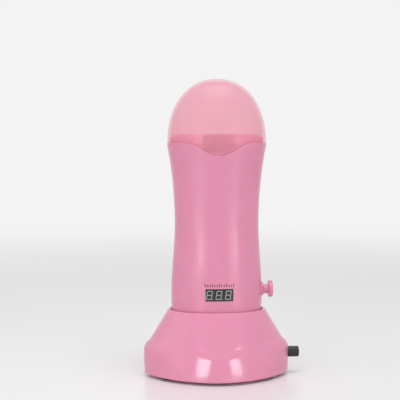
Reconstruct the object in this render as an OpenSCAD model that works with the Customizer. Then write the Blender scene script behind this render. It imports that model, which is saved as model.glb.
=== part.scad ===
// Roll on wax heater: an oval handset with a see-through cap, standing in a flared docking base.
// Millimetres. X is the object's right, -Y its front, Z up, and Z = 0 is the table.

/* [Handset] */
// Half width at the waist
waist_r = 31.2; // [30.6:0.1:32.5]
// Height of the waist above the table
waist_z = 114; // [108:1:118]
// Half width at the seam under the cap
seam_r = 37; // [36.5:0.1:38.5]
// Height of the seam at the sides
seam_z = 173; // [171:1:176]
// Half width at the belly, round the display
belly_r = 33.75; // [33.5:0.05:34.5]
// Height of the belly
belly_z = 62; // [60:1:66]
// Half width at the foot
foot_r = 31.8; // [31.2:0.1:32.4]
// Depth over width of the handset's oval
depth_ratio = 0.68; // [0.68:0.01:0.72]
// Wall of the handset's shells
wall = 2; // [1.8:0.1:2.2]
// Drop of the seam at the front and the back
dip_depth = 9.3; // [5:0.1:10]
// Width of that drop
dip_w = 52; // [46:1:56]

/* [Cap] */
// Top of the cap above the table
top_z = 220; // [212:1:230]
// Squareness of the dome, where 2 is an ellipse
dome_power = 2.15; // [2:0.05:2.6]
// Wall of the cap
cap_wall = 1.8; // [1.4:0.1:1.9]
// Step from the shells in to the cap
cap_step = 0.5; // [0.3:0.1:0.6]

/* [Heating chamber] */
// Width of the wax cartridge that the chamber takes
cartridge_w = 47; // [44:0.5:47]
// Depth of the cartridge
cartridge_d = 25.8; // [24:0.2:25.8]
// Wall of the aluminium chamber
chamber_wall = 1.2; // [0.8:0.1:1.2]
// Outer bottom of the chamber
chamber_z = 76; // [76:1:80]
// How far its open top lies under the seam
chamber_drop = 7; // [6:0.5:11]

/* [Display] */
// Width of the display window
display_w = 20; // [16:0.5:21]
// Height of the display window
display_h = 8.7; // [7:0.1:9.5]
// Height of its middle above the table
display_z = 63; // [62:0.5:64]

/* [Temperature knob] */
// Radius of the knob's disc
knob_r = 6.2; // [5.5:0.1:8]
// Thickness of the disc
knob_t = 3; // [2.6:0.1:4]
// Gap between the shell's boss and the disc
knob_reach = 4.2; // [3:0.1:6]
// Height of the knob's axis above the table
knob_z = 64; // [63:0.5:64]

/* [Docking base] */
// Half width of the skirt
skirt_r = 54.2; // [53.5:0.1:56]
// Half depth of the skirt at its foot
skirt_d = 38; // [37.5:0.1:39]
// Height of the skirt's shoulder
skirt_z = 24.6; // [24:0.1:26]
// Half width of the top rim
rim_r = 36; // [35.8:0.1:36.6]
// Height of the top rim
rim_z = 50; // [49:1:51]
// Wall of the base's shell
base_wall = 2.2; // [1.8:0.1:2.4]
// Height of the rubber feet under the shell
foot_h = 2.2; // [2:0.1:2.6]
// Floor of the docking well, where the handset stands
dock_z = 34; // [34:0.5:35]

/* [Power button] */
// Radius of the button
button_r = 4; // [3.4:0.1:4.2]
// How far it stands out of the skirt
button_out = 8; // [6:0.5:10]
// How far it pushes in
button_travel = 2.5; // [1.5:0.1:2.5]
// Height of its axis above the table
button_z = 16.3; // [16:0.1:17]

/* [Hidden] */
$fn = 64;

// Clearances: pieces that are fitted together, and pieces that slide or turn in one another.
fit = 0.1;
run = 0.05;
eps = 0.01;
far = 120;

// Colours, as the photograph shows them.
body_pink = [0.90, 0.58, 0.69];
base_pink = [0.91, 0.60, 0.72];
cap_pink = [0.95, 0.66, 0.74, 0.5];
black = [0.12, 0.12, 0.12];
steel = [0.75, 0.75, 0.77];
brass_gold = [0.80, 0.65, 0.35];
board_green = [0.10, 0.42, 0.25];
wire_red = [0.70, 0.15, 0.12];

// Heights and sizes that several pieces share.
cover_z = dock_z + 3;
cap_r = seam_r - cap_step;
dome_h = top_z - seam_z;
plate_top = foot_h + 2;
board_t = 1.6;
screw_r = 1.05;
screw_hole_r = 1.4;
pilot_r = screw_r + run;
small_screw_r = 0.85;
small_hole_r = 1;
small_pilot_r = small_screw_r + run;
small_head_r = 1.7;
small_head_h = 1.1;
chamber_in_r = cartridge_d / 2 + 0.5;
chamber_r = chamber_in_r + chamber_wall;
chamber_c = (cartridge_w - cartridge_d) / 2;
chamber_top = seam_z - chamber_drop;

// ---- Rules that the ovals follow ----

// Half width of the handset at height z.
function body_r(z) =
    z > waist_z ? waist_r + (seam_r - waist_r) * pow((z - waist_z) / (seam_z - waist_z), 2)
    : z > belly_z ? waist_r + (belly_r - waist_r) * (1 - cos(180 * (waist_z - z) / (waist_z - belly_z))) / 2
    : belly_r - (belly_r - foot_r) * pow((belly_z - z) / (belly_z - dock_z), 2);

// Depth over width of the oval inside a wall of thickness t, for a mean half width r.
function inner_ratio(t, r = belly_r) = (depth_ratio * r - t) / (r - t);

// How far the seam drops at x.
function dip(x) = abs(x) < dip_w / 2 ? dip_depth * (1 + cos(360 * x / dip_w)) / 2 : 0;

// Points of an arc.
function arc(cx, cy, r, from, to, n = 5) =
    [for (i = [0:n]) let (a = from + (to - from) * i / n) [cx + r * cos(a), cy + r * sin(a)]];

// ---- Shapes that several pieces share ----

// Turns an outline about Z, in two halves, and flattens it to an oval.
module oval(ratio) {
    for (turn = [0, 180])
        scale([1, ratio, 1]) rotate(turn) rotate_extrude(angle = 180, $fn = 96) children();
}

// The handset's own form from z0 to z1, drawn in by t.
module body_solid(t, z0, z1, ratio, n = 12) {
    oval(ratio)
        polygon(concat(
            [[0, z0]],
            [for (i = [0:n]) let (z = z0 + (z1 - z0) * i / n) [body_r(z) - t, z]],
            [[0, z1]]
        ));
}

// The same form inside a wall of thickness t.
module body_inside(t, z0, z1, n = 12) {
    body_solid(t, z0, z1, inner_ratio(t), n);
}

// Everything above the seam, with its drop at the front and the back.
module above_seam(drop = dip_depth, n = 14) {
    rotate([90, 0, 0])
        linear_extrude(far, center = true)
            polygon(concat(
                [[-far / 2, top_z + 20], [-far / 2, seam_z]],
                [for (i = [0:n]) let (x = dip_w * (i / n - 0.5)) [x, seam_z - dip(x) * drop / dip_depth]],
                [[far / 2, seam_z], [far / 2, top_z + 20]]
            ));
}

// Everything on one side of the split between the shells: -1 is the front, 1 the rear.
module half_space(side) {
    translate([-far / 2, side > 0 ? 0 : -far, 0]) cube([far, far, top_z + 20]);
}

// A level slab right across, from z0 up by h.
module slab(z0, h) {
    translate([-far / 2, -far / 2, z0]) cube([far, far, h]);
}

// A flat-sided oval, round at both ends, as an outline and as a solid.
module stadium_outline(r, c) {
    translate([-c, 0]) circle(r);
    translate([c, 0]) circle(r);
    translate([-c, -r]) square([2 * c, 2 * r]);
}

module stadium(r, c, z0, h) {
    translate([0, 0, z0]) linear_extrude(h) stadium_outline(r, c);
}

// A round bar from a to b, with a bead of the given radius at b, if any.
module rod(a, b, r, bead) {
    d = b - a;
    translate(a)
        rotate([0, acos(d[2] / norm(d)), atan2(d[1], d[0])]) {
            cylinder(r = r, h = norm(d), $fn = 24);
            if (bead > 0) translate([0, 0, norm(d)]) sphere(r = bead, $fn = 24);
        }
}

wire_r = 0.6;
thin_wire_r = 0.45;
mains_wire_r = 0.7;

// An insulated wire along points, its bends a touch fuller than its straights.
module wire(points, r = wire_r) {
    last = len(points) - 1;
    for (i = [1:last]) rod(points[i - 1], points[i], r, i < last ? r * 1.06 : 0);
}

// A pan head screw with a crossed slot: its head rests on Z = 0 and the shank points down.
module screw(r, h, head_r, head_h) {
    difference() {
        union() {
            cylinder(r = head_r, h = head_h);
            translate([0, 0, -h]) cylinder(r = r, h = h + eps);
        }
        for (a = [0, 90])
            rotate(a) translate([-head_r * 0.6, -0.3, head_h * 0.45]) cube([head_r * 1.2, 0.6, head_h]);
    }
}

// ---- Handset: shells ----

rib_t = 1.6;
shelf_z = chamber_z - rib_t;
groove_drop = 15;
groove_z = seam_z - groove_drop;
groove_h = 2.4;
groove_d = 1.1;
upper_rib_drop = 8;
upper_rib_z = groove_z - upper_rib_drop;
ring_gap = 0.3;
shell_screw_x = 25.5;
shell_screw_z = 44;
shell_screw_y = 8;
shell_screw_l = 15;
shell_head_r = 2.2;
shell_head_h = 1.4;
shell_post_r = 3.2;
bottom_screw_y = 12;
bottom_screw_l = 10;
bottom_head_r = 2.4;
bottom_head_h = 0.8;
bottom_sink = 1;
shell_pilot_h = 9;
bottom_pilot_h = 12;
bottom_post_r = 2.8;
bottom_post_h = 11;
web_t = 2;
web_h = 8.4;
web_gap = 2.2;
web_l = 18;
slot_w = 18;
slot_d = 3.3;
cover_floor = 2.6;
cover_edge = 2.4;
board_y = -13;
board_back = board_y + board_t;
board_screw_x = 17;
board_screw_z = 53;
board_screw_l = 5;
board_post_r = 2.4;
display_t = 6.1;
display_back = board_y - display_t;
boss_r = 5;
boss_out = 0.85;
boss_x = belly_r + boss_out;
boss_root_x = belly_r - wall + fit;
pot_w = 7;
pot_d = 14;
pot_h = 16;
pot_in = 13.6;
pot_x = boss_x - pot_in;
pot_shelf_d = 10;
bush_r = 3.5;
bush_in = 1.4;
bush_end = boss_x - bush_in;

// A level rib across the handset, pierced by a stadium.
module rib(z, hole_r) {
    difference() {
        slab(z, rib_t);
        stadium(hole_r, chamber_c, z - 1, rib_t + 2);
    }
}

// What both shells carry inside, before it is trimmed to their walls.
module shell_inside(side) {
    web_y = side > 0 ? bottom_screw_y : -bottom_screw_y - web_l;
    rib(shelf_z, chamber_r - wall);
    rib(upper_rib_z, chamber_r + 2 * fit);
    for (x = [-1, 1] * shell_screw_x)
        translate([x, 0, shell_screw_z]) rotate([-90 * side, 0, 0]) cylinder(r = shell_post_r, h = far);
    translate([0, side * bottom_screw_y, dock_z + cover_floor])
        cylinder(r = bottom_post_r, h = bottom_post_h);
    translate([-web_t / 2, web_y, cover_z + web_gap]) cube([web_t, web_l, web_h]);
    for (z = [knob_z - pot_h / 2 - rib_t, knob_z + pot_h / 2])
        translate([pot_x - 1, side > 0 ? 0 : -pot_shelf_d, z]) cube([far, pot_shelf_d, rib_t]);
}

// The holes that only one of the two shells has.
module shell_openings(side) {
    for (x = [-1, 1] * shell_screw_x) translate([x, 0, shell_screw_z]) rotate([-90 * side, 0, 0]) {
        if (side < 0) translate([0, 0, -1]) cylinder(r = pilot_r, h = shell_pilot_h + 1);
        if (side > 0) translate([0, 0, -1]) cylinder(r = screw_hole_r, h = far);
        if (side > 0) translate([0, 0, shell_screw_y]) cylinder(r = shell_head_r + 2 * fit, h = far);
    }
    translate([-slot_w / 2, side > 0 ? chamber_r + ring_gap : -chamber_r - ring_gap - slot_d, shelf_z - 1])
        cube([slot_w, slot_d, rib_t + 2]);
    if (side < 0)
        translate([-display_w / 2 - fit, board_y - far - 1, display_z - display_h / 2 - fit])
            cube([display_w + 2 * fit, far, display_h + 2 * fit]);
}

// The plain half shell: its wall, its ribs and the boss round the knob's shaft.
module shell_walls(side) {
    difference() {
        body_solid(0, cover_z, seam_z, depth_ratio);
        body_inside(wall, cover_z - 1, seam_z + 1);
    }
    intersection() {
        body_inside(wall / 2, dock_z + cover_floor, seam_z - 4);
        shell_inside(side);
    }
    translate([boss_root_x, 0, knob_z]) rotate([0, 90, 0]) cylinder(r = boss_r, h = boss_x - boss_root_x);
}

module shell_half(side) {
    difference() {
        shell_walls(side);
        half_space(-side);
        above_seam();
        oval(inner_ratio(wall - groove_d))
            translate([0, groove_z - fit]) square([body_r(groove_z) - wall + groove_d, groove_h + 2 * fit]);
        translate([pot_x - 1, 0, knob_z]) rotate([0, 90, 0]) cylinder(r = bush_r + 2 * fit, h = far);
        translate([0, side * bottom_screw_y, dock_z]) cylinder(r = pilot_r, h = bottom_pilot_h);
        shell_openings(side);
    }
}

module front_shell() {
    color(body_pink) difference() {
        union() {
            shell_half(-1);
            intersection() {
                body_inside(wall / 2, cover_z, shelf_z, 6);
                for (x = [-1, 1] * board_screw_x)
                    translate([x, board_y, board_screw_z])
                        rotate([90, 0, 0]) cylinder(r = board_post_r, h = far);
            }
        }
        for (x = [-1, 1] * board_screw_x)
            translate([x, board_y + 1, board_screw_z])
                rotate([90, 0, 0]) cylinder(r = small_pilot_r, h = board_screw_l - board_t + 1 + 2 * fit);
    }
}

module rear_shell() {
    color(body_pink) shell_half(1);
}

// Closes the handset's bottom, stands in the docking well and holds the two contact pads.
pad_x = 9;
pad_t = 0.8;
pad_r = 3.1;
rivet_r = 1;
rivet_head_r = 1.7;
rivet_head_h = 0.8;
rivet_h = cover_floor + rivet_head_h + fit;
module bottom_cover() {
    color(body_pink) difference() {
        union() {
            oval(depth_ratio)
                polygon(concat(
                    [[0, dock_z]],
                    arc(body_r(cover_z) - cover_edge, dock_z + cover_edge, cover_edge, -90, 0),
                    [[body_r(cover_z), cover_z], [0, cover_z]]
                ));
            body_inside(wall + fit, cover_z - 1, cover_z + 2, 2);
        }
        body_inside(2 * wall, dock_z + cover_floor, cover_z + 3, 2);
        for (x = [-1, 1] * pad_x) translate([x, 0, dock_z - 1]) {
            cylinder(r = pad_r + fit, h = pad_t + 1);
            cylinder(r = rivet_r + run, h = cover_floor + 2);
        }
        for (y = [-1, 1] * bottom_screw_y) translate([0, y, dock_z - 1]) {
            cylinder(r = screw_hole_r, h = 10);
            cylinder(r = bottom_head_r + 2 * fit, h = bottom_sink + 1);
        }
    }
}

// ---- Handset: collar and cap ----

collar_in = 2.7;
collar_front_in = 3.76;
collar_rise = 6.5;
collar_shoulder_h = 3.5;
collar_shoulder_w = 7.8;
collar_r = seam_r - collar_in;
collar_d = depth_ratio * seam_r - collar_front_in;
collar_top_z = seam_z + collar_rise;
collar_shoulder_z = collar_top_z - collar_shoulder_h;
collar_flat_r = collar_r - collar_shoulder_w;
collar_wall = 2;
sleeve_t = 1.6;
sleeve_h = 20;
flange_w = 2.4;
mouth_r = chamber_in_r - 2 * fit;
notch_w = 24;
notch_drop = 8;
notch_z = seam_z - notch_drop;

// The collar's outline, drawn in by t: upright sides, a rounded shoulder and a flat top.
module collar_form(t, z0) {
    intersection() {
        oval((collar_d - t) / (collar_r - t))
            polygon(concat(
                [[0, z0], [collar_r - t, z0]],
                [for (i = [0:5]) let (a = 18 * i)
                    [collar_flat_r + (collar_r - t - collar_flat_r) * cos(a),
                     collar_shoulder_z - t + (collar_top_z - collar_shoulder_z) * sin(a)]],
                [[0, collar_top_z - t]]
            ));
        body_inside(wall + 0.4 + t, z0, collar_top_z + 1, 5);
    }
}

// The ring round the cartridge's mouth, with a notch for the thumb.
module collar() {
    color(body_pink) difference() {
        union() {
            difference() {
                collar_form(0, groove_z);
                collar_form(collar_wall, groove_z - 1);
            }
            difference() {
                body_inside(wall - groove_d + ring_gap, groove_z, groove_z + groove_h, 1);
                body_inside(wall + flange_w, groove_z - 1, groove_z + groove_h + 1, 1);
            }
            stadium(chamber_r + sleeve_t, chamber_c, groove_z, sleeve_h);
            intersection() {
                collar_form(0, groove_z);
                translate([-notch_w / 2 - sleeve_t, -far, notch_z - collar_wall])
                    cube([notch_w + 2 * sleeve_t, far, far]);
            }
        }
        stadium(mouth_r, chamber_c, groove_z - 1, far);
        stadium(chamber_r + fit, chamber_c, groove_z - 1, chamber_top - groove_z + 1);
        translate([-notch_w / 2, -far, notch_z]) cube([notch_w, far, far]);
    }
}

// The cap's outline with the wall drawn in by t: a dome, and below it the line of the shells.
module cap_form(t) {
    bottom = seam_z - dip_depth - 1;
    oval(t > 0 ? inner_ratio(t, cap_r) : depth_ratio)
        polygon(concat(
            [[0, bottom - t]],
            [for (i = [0:3])
                let (z = bottom - t + (seam_z - bottom + t) * i / 3)
                [body_r(z) - cap_step - t, z]],
            [for (i = [1:13])
                let (a = 90 * i / 14)
                [(cap_r - t) * pow(cos(a), 2 / dome_power),
                 seam_z + (dome_h - t) * pow(sin(a), 2 / dome_power)]],
            [[0, top_z - t]]
        ));
}

module cap() {
    color(cap_pink) intersection() {
        difference() {
            cap_form(0);
            cap_form(cap_wall);
        }
        above_seam(dip_depth - 0.15);
    }
}

// ---- Handset: heater ----

element_w = 22;
element_t = 2.4;
element_z = 90;
element_h = 50;
chamber_floor = 1.6;
clip_t = 0.45;
clip_h = 5;
clip_rise = 6;
clip_pitch = 32;

// The aluminium well that the wax cartridge drops into.
module heating_chamber() {
    color([0.78, 0.78, 0.80]) difference() {
        stadium(chamber_r, chamber_c, chamber_z, chamber_top - chamber_z);
        stadium(chamber_in_r, chamber_c, chamber_z + chamber_floor, chamber_top - chamber_z);
    }
}

module heating_element() {
    color([0.72, 0.42, 0.12])
        translate([-element_w / 2, chamber_r, element_z]) cube([element_w, element_t, element_h]);
}

// Two spring bands that hold the element against the chamber.
module heater_clips() {
    low = element_z + clip_rise;
    color(steel) for (z = [low, low + clip_pitch]) difference() {
        union() {
            stadium(chamber_r + clip_t, chamber_c, z, clip_h);
            translate([-element_w / 2 - clip_t, 0, z])
                cube([element_w + 2 * clip_t, chamber_r + element_t + clip_t, clip_h]);
        }
        stadium(chamber_r, chamber_c, z - 1, clip_h + 2);
        translate([-element_w / 2, 0, z - 1]) cube([element_w, chamber_r + element_t, clip_h + 2]);
    }
}

fuse_r = 1.8;
fuse_x = -6;
fuse_h = 11;
sensor_r = 1.5;
sensor_x = 8;
sensor_h = 6;
cutout_z = 108;
fuse_lead_r = 0.4;
fuse_lead_l = 5;
sensor_lead_r = 0.25;
sensor_lead_x = 0.6;
sensor_lead_l = 6;

// A one-shot cut-out that opens when the chamber overheats, with its two leads.
module thermal_fuse() {
    color([0.80, 0.78, 0.70]) translate([fuse_x, -chamber_r - fuse_r, cutout_z]) {
        cylinder(r = fuse_r, h = fuse_h);
        translate([0, 0, -fuse_lead_l]) cylinder(r = fuse_lead_r, h = fuse_h + 2 * fuse_lead_l);
    }
}

module temperature_sensor() {
    color(black) translate([sensor_x, -chamber_r - sensor_r, cutout_z]) {
        cylinder(r = sensor_r, h = sensor_h);
        for (x = [-1, 1] * sensor_lead_x)
            translate([x, 0, -sensor_lead_l]) cylinder(r = sensor_lead_r, h = sensor_lead_l + 1, $fn = 24);
    }
}

// ---- Handset: electronics ----

board_w = 42;
board_drop = 13;
board_h = 22;
board_bottom = display_z - board_drop;
board_top = board_bottom + board_h;

module control_board() {
    color(board_green) difference() {
        translate([-board_w / 2, board_y, board_bottom]) cube([board_w, board_t, board_h]);
        for (x = [-1, 1] * board_screw_x)
            translate([x, board_y - 1, board_screw_z])
                rotate([-90, 0, 0]) cylinder(r = small_hole_r, h = board_t + 2);
    }
}

// The control chip, the heater's switch, a capacitor and a wire header, all on the board's back.
chip = [10, 1.6, 6];
driver = [8, 4, 10];
driver_x = -17;
parts_z = 60;
capacitor_r = 3.5;
capacitor_h = 8;
capacitor_x = 12;
capacitor_z = 66;
header = [16, 5, 5];
header_z = 51;
module board_components() {
    color(black) translate([-chip[0] / 2, board_back, parts_z]) cube(chip);
    color(black) translate([driver_x, board_back, parts_z]) cube(driver);
    color([0.25, 0.30, 0.55])
        translate([capacitor_x, board_back, capacitor_z])
            rotate([-90, 0, 0]) cylinder(r = capacitor_r, h = capacitor_h);
    color([0.95, 0.95, 0.92]) translate([-header[0] / 2, board_back, header_z]) cube(header);
}

// The lit digits' housing, a little larger than the window in front of it.
frame_w = 1;
frame_h = 0.65;
module display_module() {
    w = display_w + 2 * frame_w;
    h = display_h + 2 * frame_h;
    color(black) translate([-w / 2, display_back, display_z - h / 2]) cube([w, display_t, h]);
}

// The dark window is flush with the shell and follows its curve.
window_drop = 0.12;
window_span = 8;
module display_window() {
    color([0.16, 0.16, 0.17, 0.9]) intersection() {
        body_solid(window_drop, display_z - window_span, display_z + window_span, depth_ratio, 4);
        translate([-display_w / 2, display_back - 2 * fit - far, display_z - display_h / 2])
            cube([display_w, far, display_h]);
    }
}

shaft_r = 2;
shaft_flat = 1.5;
pot_floor = 2;
hub_r = 3.5;
hub_flare = 0.6;
knob_edge = 0.8;
disc_edge = 0.4;
pointer_l = 3.6;
pointer_w = 0.8;
pointer_d = 0.4;
pointer_z = 1.6;
knob_face = 2;
disc_x = boss_x + knob_reach;
knob_end = disc_x + knob_t;

module potentiometer() {
    color([0.20, 0.35, 0.55]) difference() {
        union() {
            translate([pot_x, -pot_d / 2, knob_z - pot_h / 2]) cube([pot_w, pot_d, pot_h]);
            translate([pot_x + pot_w - eps, 0, knob_z])
                rotate([0, 90, 0]) cylinder(r = bush_r, h = bush_end - pot_x - pot_w + eps);
        }
        translate([pot_x + pot_floor, 0, knob_z]) rotate([0, 90, 0]) cylinder(r = shaft_r + run, h = far);
    }
}

// The shaft has a flat that carries the knob round.
module potentiometer_shaft() {
    color(steel) difference() {
        translate([pot_x + pot_floor + 0.5, 0, knob_z])
            rotate([0, 90, 0]) cylinder(r = shaft_r, h = knob_end - pot_x - pot_floor - knob_face);
        translate([boss_x, -shaft_r, knob_z + shaft_flat]) cube([far, 2 * shaft_r, shaft_r]);
    }
}

// A thin disc on a round hub, with a pointer line cut in its face.
module temperature_knob() {
    hub_x = boss_x + ring_gap;
    color(body_pink) difference() {
        translate([0, 0, knob_z]) rotate([0, 90, 0]) rotate_extrude()
            polygon(concat(
                [[0, hub_x], [hub_r, hub_x], [hub_r, disc_x - hub_flare], [hub_r + hub_flare, disc_x]],
                [[knob_r - disc_edge, disc_x], [knob_r, disc_x + disc_edge]],
                arc(knob_r - knob_edge, knob_end - knob_edge, knob_edge, 0, 90, 4),
                [[0, knob_end]]
            ));
        difference() {
            translate([boss_x, 0, knob_z])
                rotate([0, 90, 0]) cylinder(r = shaft_r + run, h = knob_end - knob_face + 0.6 - boss_x);
            translate([boss_x - 1, -far / 2, knob_z + shaft_flat + run]) cube([far, far, far]);
        }
        translate([knob_end - pointer_d, -pointer_w / 2, knob_z + pointer_z])
            cube([1, pointer_w, pointer_l]);
    }
}

// The brass contacts flush with the handset's bottom, riveted through its cover.
module contact_pads() {
    color(brass_gold) for (x = [-1, 1] * pad_x) translate([x, 0, dock_z]) {
        cylinder(r = pad_r, h = pad_t);
        cylinder(r = rivet_r, h = rivet_h);
        translate([0, 0, cover_floor]) cylinder(r = rivet_head_r, h = rivet_head_h);
    }
}

module shell_screws() {
    color(steel) for (x = [-1, 1] * shell_screw_x)
        translate([x, shell_screw_y, shell_screw_z])
            rotate([-90, 0, 0]) screw(screw_r, shell_screw_l, shell_head_r, shell_head_h);
}

module bottom_screws() {
    color(steel) for (y = [-1, 1] * bottom_screw_y)
        translate([0, y, dock_z + bottom_sink])
            rotate([180, 0, 0]) screw(screw_r, bottom_screw_l, bottom_head_r, bottom_head_h);
}

module board_screws() {
    color(steel) for (x = [-1, 1] * board_screw_x)
        translate([x, board_back, board_screw_z])
            rotate([-90, 0, 0]) screw(small_screw_r, board_screw_l, small_head_r, small_head_h);
}

// The wires from the contact pads to the board, and from the board to the heater and the knob.
module handset_wires() {
    front_y = -chamber_r - 1.6;
    rear_y = chamber_r + 1.6;
    lead_y = -chamber_r - fuse_r;
    header_back = board_back + header[1];
    // A wire leaves the board at its top edge and bends up past the chamber.
    from_board = function(x) [[x, board_y + 0.8, board_top], [x, front_y, board_top + 2]];
    color(wire_red) for (s = [-1, 1])
        wire([
            [s * pad_x, 0, dock_z + rivet_h], [s * pad_x, -1, 43],
            [s * 6, -8.5, 47], [s * 6, -8.5, header_z]
        ]);
    color(black) for (x = [-4, 4])
        wire([[x, header_back, 54], [x, 5, 58], [x, rear_y, 70], [x, rear_y - 0.4, element_z]]);
    color(steel) for (x = [sensor_x - sensor_lead_x, sensor_x + sensor_lead_x])
        wire(concat(from_board(x), [[x, -chamber_r - sensor_r, cutout_z - sensor_lead_l]]), 0.3);
    color(black)
        wire(concat(from_board(fuse_x), [[fuse_x, lead_y, cutout_z - fuse_lead_l]]), thin_wire_r);
    color(black)
        wire(concat(
            from_board(-2),
            [[-2, front_y, 122], [-4, lead_y, 126], [fuse_x, lead_y, cutout_z + fuse_h + fuse_lead_l]]
        ), thin_wire_r);
    color(wire_red) for (z = [59, 62, 66])
        wire([[pot_x + 3, -pot_d / 2, z], [pot_x + 3, -9.5, z], [19.6, -10, z], [19.6, board_back, z]],
             thin_wire_r);
}

// ---- Docking base ----

shoulder = 4;
bell_slope = 0.56;
bell_ratio = 0.69;
bell_mean_r = rim_r + 6;
bell_drop = 2.6;
bell_lap = 8;
rim_edge = 0.8;
skirt_bulge_z = 14;
skirt_foot_in = 0.6;
lens_spread = 5.8;
lens_r = skirt_r + lens_spread;
tip_ratio = 0.8;
lean_in = 2.2;
lean_drop = 2.2;
bell_lean = 0.36;
dock_gap = 0.9;
well_wall = 1.3;
well_floor = 2;
dish_r = 3.2;
dish_h = 0.9;
base_screw_in = 30.2;
base_screw_x = skirt_r - base_screw_in;
base_screw_y = 10;
base_screw_l = 10;
base_head_r = 2.6;
base_head_h = 1;
base_pilot_h = 13;
base_post_r = 3.4;
contact_screw_y = 3.6;
contact_screw_l = 4.5;
contact_post_r = 2.2;
rest_in = 18.2;
rest_x = skirt_r - rest_in;
rest_y = 12;
rest_r = 5;
rest_depth = 0.8;
rest_edge = 0.5;

// One side of the base's plan, drawn in by t: a broad arc that leans in, and leans more above the skirt.
module base_side(side, t) {
    bottom = foot_h - t;
    bend_z = skirt_z - lean_drop;
    top_r = lens_r - lean_in - bell_lean * (rim_z - bend_z) - t;
    translate([0, side * (skirt_d - lens_r), 0])
        for (turn = [0, 180])
            rotate(turn) rotate_extrude(angle = 180, $fn = 96)
                polygon([
                    [0, bottom], [lens_r - t, bottom], [lens_r - lean_in - t, bend_z],
                    [top_r, rim_z], [0, rim_z]
                ]);
}

// The base's outer form, drawn in by t: a flared bell on a wide skirt, both kept between the two sides.
module base_form(t) {
    bottom = foot_h - t;
    bell_z = skirt_z - bell_drop;
    bell_r = rim_r + bell_slope * (rim_z - bell_z);
    intersection() {
        union() {
            oval((bell_ratio * bell_mean_r - t) / (bell_mean_r - t))
                polygon(concat(
                    [[0, bell_z - bell_lap], [bell_r - t, bell_z - bell_lap], [bell_r - t, bell_z]],
                    arc(rim_r - t - rim_edge, rim_z - t - rim_edge, rim_edge, 20, 90, 3),
                    [[0, rim_z - t]]
                ));
            oval(tip_ratio)
                polygon(concat(
                    [[0, bottom], [skirt_r - t - skirt_foot_in, bottom], [skirt_r - t, skirt_bulge_z]],
                    arc(skirt_r - shoulder, skirt_z - shoulder, shoulder - t, 0, 75, 5),
                    [[0, skirt_z + bell_lap - t]]
                ));
        }
        base_side(-1, t);
        base_side(1, t);
    }
}

button_hole_x = skirt_r - base_wall - 6;
inlet_z = 13;
inlet_c = 4.3;
inlet_r = 4.7;
inlet_l = 14.6;
inlet_in = 1.4;
inlet_end = skirt_d - inlet_in;
inlet_y = inlet_end - inlet_l;
inlet_flange = [22, 1.5, 11.2];
inlet_flange_in = 4.6;
inlet_flange_y = skirt_d - base_wall - inlet_flange_in;
contact_board_drop = 8;
contact_board_z = dock_z - contact_board_drop;
barrel_r = 1.4;

// A stadium lying along Y, for the inlet and its hole.
module inlet_bar(r, y0, y1) {
    translate([0, y1, inlet_z]) rotate([90, 0, 0]) linear_extrude(y1 - y0) stadium_outline(r, inlet_c);
}

module base_shell() {
    color(base_pink) difference() {
        union() {
            difference() {
                base_form(0);
                base_form(base_wall);
            }
            body_inside(-dock_gap - well_wall, dock_z - well_floor, rim_z - 1, 3);
            for (x = [-1, 1] * base_screw_x, y = [-1, 1] * base_screw_y)
                translate([x, y, plate_top]) cylinder(r = base_post_r, h = dock_z - 1 - plate_top);
            for (y = [-1, 1] * contact_screw_y)
                translate([0, y, contact_board_z + board_t])
                    cylinder(r = contact_post_r, h = dock_z - 1 - contact_board_z - board_t);
        }
        body_inside(-dock_gap, dock_z, rim_z + 1, 3);
        for (x = [-1, 1] * base_screw_x, y = [-1, 1] * base_screw_y)
            translate([x, y, foot_h]) cylinder(r = pilot_r, h = base_pilot_h);
        for (y = [-1, 1] * contact_screw_y)
            translate([0, y, contact_board_z]) cylinder(r = small_pilot_r, h = contact_screw_l + 0.5);
        for (x = [-1, 1] * pad_x)
            translate([x, 0, dock_z - 2 * well_floor]) cylinder(r = barrel_r + 2 * fit, h = 4 * well_floor);
        for (x = [-1, 1] * pad_x) translate([x, 0, dock_z - dish_h]) cylinder(r = dish_r, h = 2);
        translate([button_hole_x, 0, button_z])
            rotate([0, 90, 0]) cylinder(r = button_r + 2 * fit, h = far);
        inlet_bar(inlet_r + fit, inlet_flange_y - 4, skirt_d + 10);
    }
}

switch_body = [12, 8.5, 8.5];
switch_z = button_z - switch_body[2] / 2 - board_t;
switch_post_x = skirt_r - base_wall - 20;
switch_post_y = 8.2;
switch_post_r = 2.6;
switch_screw_l = 5;
tab_t = 1.6;
tab_l = 8;

// Closes the base from below and carries the switch board, the inlet and the feet.
module base_plate() {
    color(base_pink) difference() {
        union() {
            intersection() {
                base_form(base_wall + 2 * fit);
                slab(foot_h, plate_top - foot_h);
            }
            for (y = [-1, 1] * switch_post_y)
                translate([switch_post_x, y, foot_h + 1])
                    cylinder(r = switch_post_r, h = switch_z - foot_h - 1);
            for (x = [-3, 3])
                translate([x - tab_t / 2, inlet_y + 1, foot_h + 1])
                    cube([tab_t, tab_l, inlet_z - inlet_r - foot_h - 1]);
        }
        for (x = [-1, 1] * base_screw_x, y = [-1, 1] * base_screw_y) translate([x, y, foot_h - 1]) {
            cylinder(r = screw_hole_r, h = plate_top - foot_h + 3);
            cylinder(r = base_head_r + 2 * fit, h = base_head_h + 1 + fit);
        }
        for (x = [-1, 1] * rest_x, y = [-1, 1] * rest_y)
            translate([x, y, foot_h - 1]) cylinder(r = rest_r + fit, h = rest_depth + 1);
        for (y = [-1, 1] * switch_post_y)
            translate([switch_post_x, y, switch_z + 0.5 - switch_screw_l])
                cylinder(r = small_pilot_r, h = switch_screw_l + 1);
    }
}

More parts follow.
